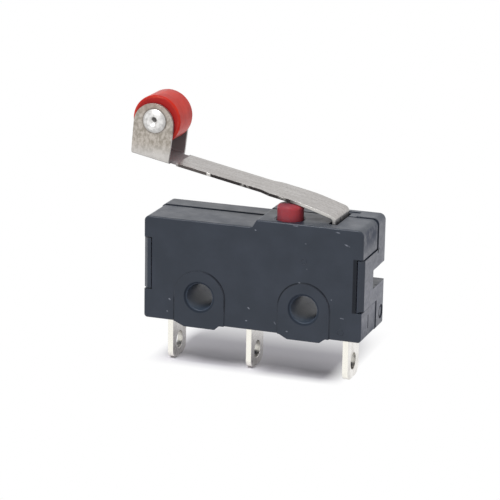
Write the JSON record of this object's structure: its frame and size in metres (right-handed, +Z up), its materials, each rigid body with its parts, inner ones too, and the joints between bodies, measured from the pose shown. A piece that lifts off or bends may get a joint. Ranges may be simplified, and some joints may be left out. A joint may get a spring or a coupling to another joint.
{
  "type": "roller lever micro switch",
  "caption": "Subminiature snap-action switch with a hinged roller lever, a push pin, through mounting holes and solder lugs.",
  "frame": {"origin": "midway between the two mounting holes, at half the case thickness", "axes": "+X towards the lever's hinge, +Y away from the front face along the mounting holes, +Z up, away from the solder lugs"},
  "size_m": [0.0217, 0.0066, 0.0237],
  "materials": {
    "housing_plastic": "moulded, satin",
    "plunger_plastic": "moulded, semi-gloss",
    "roller_plastic": "moulded, semi-gloss",
    "lever_steel": "rolled sheet, lightly worn",
    "rivet_steel": "bright, formed head",
    "terminal_metal": "silver plated",
    "contact_metal": "silver alloy",
    "blade_metal": "rolled bronze sheet"
  },
  "bodies": {
    "case": {"base_housing": "housing_plastic", "cover": "housing_plastic", "common_terminal": "terminal_metal", "no_terminal": "terminal_metal", "nc_terminal": "terminal_metal", "no_contact": "contact_metal", "nc_contact": "contact_metal"},
    "lever_arm": {"lever": "lever_steel", "roller_rivet": "rivet_steel"},
    "roller": {"roller": "roller_plastic"},
    "push_pin": {"plunger": "plunger_plastic"},
    "blade": {"snap_blade": "blade_metal", "moving_contact": "contact_metal"}
  },
  "joints": [
    {"name": "lever_hinge", "type": "hinge", "parent": "case", "child": "lever_arm", "pos_m": [0.00687, 0, 0.0068], "axis": [0, -1, 0], "range_deg": [0, 13], "stiffness_Nm_per_rad": 0.003, "springref_deg": -5.73},
    {"name": "roller_spin", "type": "hinge", "parent": "lever_arm", "child": "roller", "pos_m": [-0.00948, 0, 0.0149], "axis": [0, 1, 0], "continuous": true},
    {"name": "plunger_slide", "type": "slide", "parent": "case", "child": "push_pin", "axis": [0, 0, -1], "range_m": [0, 0.00089]},
    {"name": "blade_snap", "type": "hinge", "parent": "case", "child": "blade", "pos_m": [0.00685, 0, 0.0043], "axis": [0, -1, 0], "range_deg": [0, 2.2], "deforming": ["snap_blade"]}
  ],
  "couplings": [
    {"joint": "plunger_slide", "follows": "lever_hinge", "m_per_rad": 0.003894},
    {"joint": "blade_snap", "follows": "lever_hinge", "ratio": 0.1638}
  ]
}
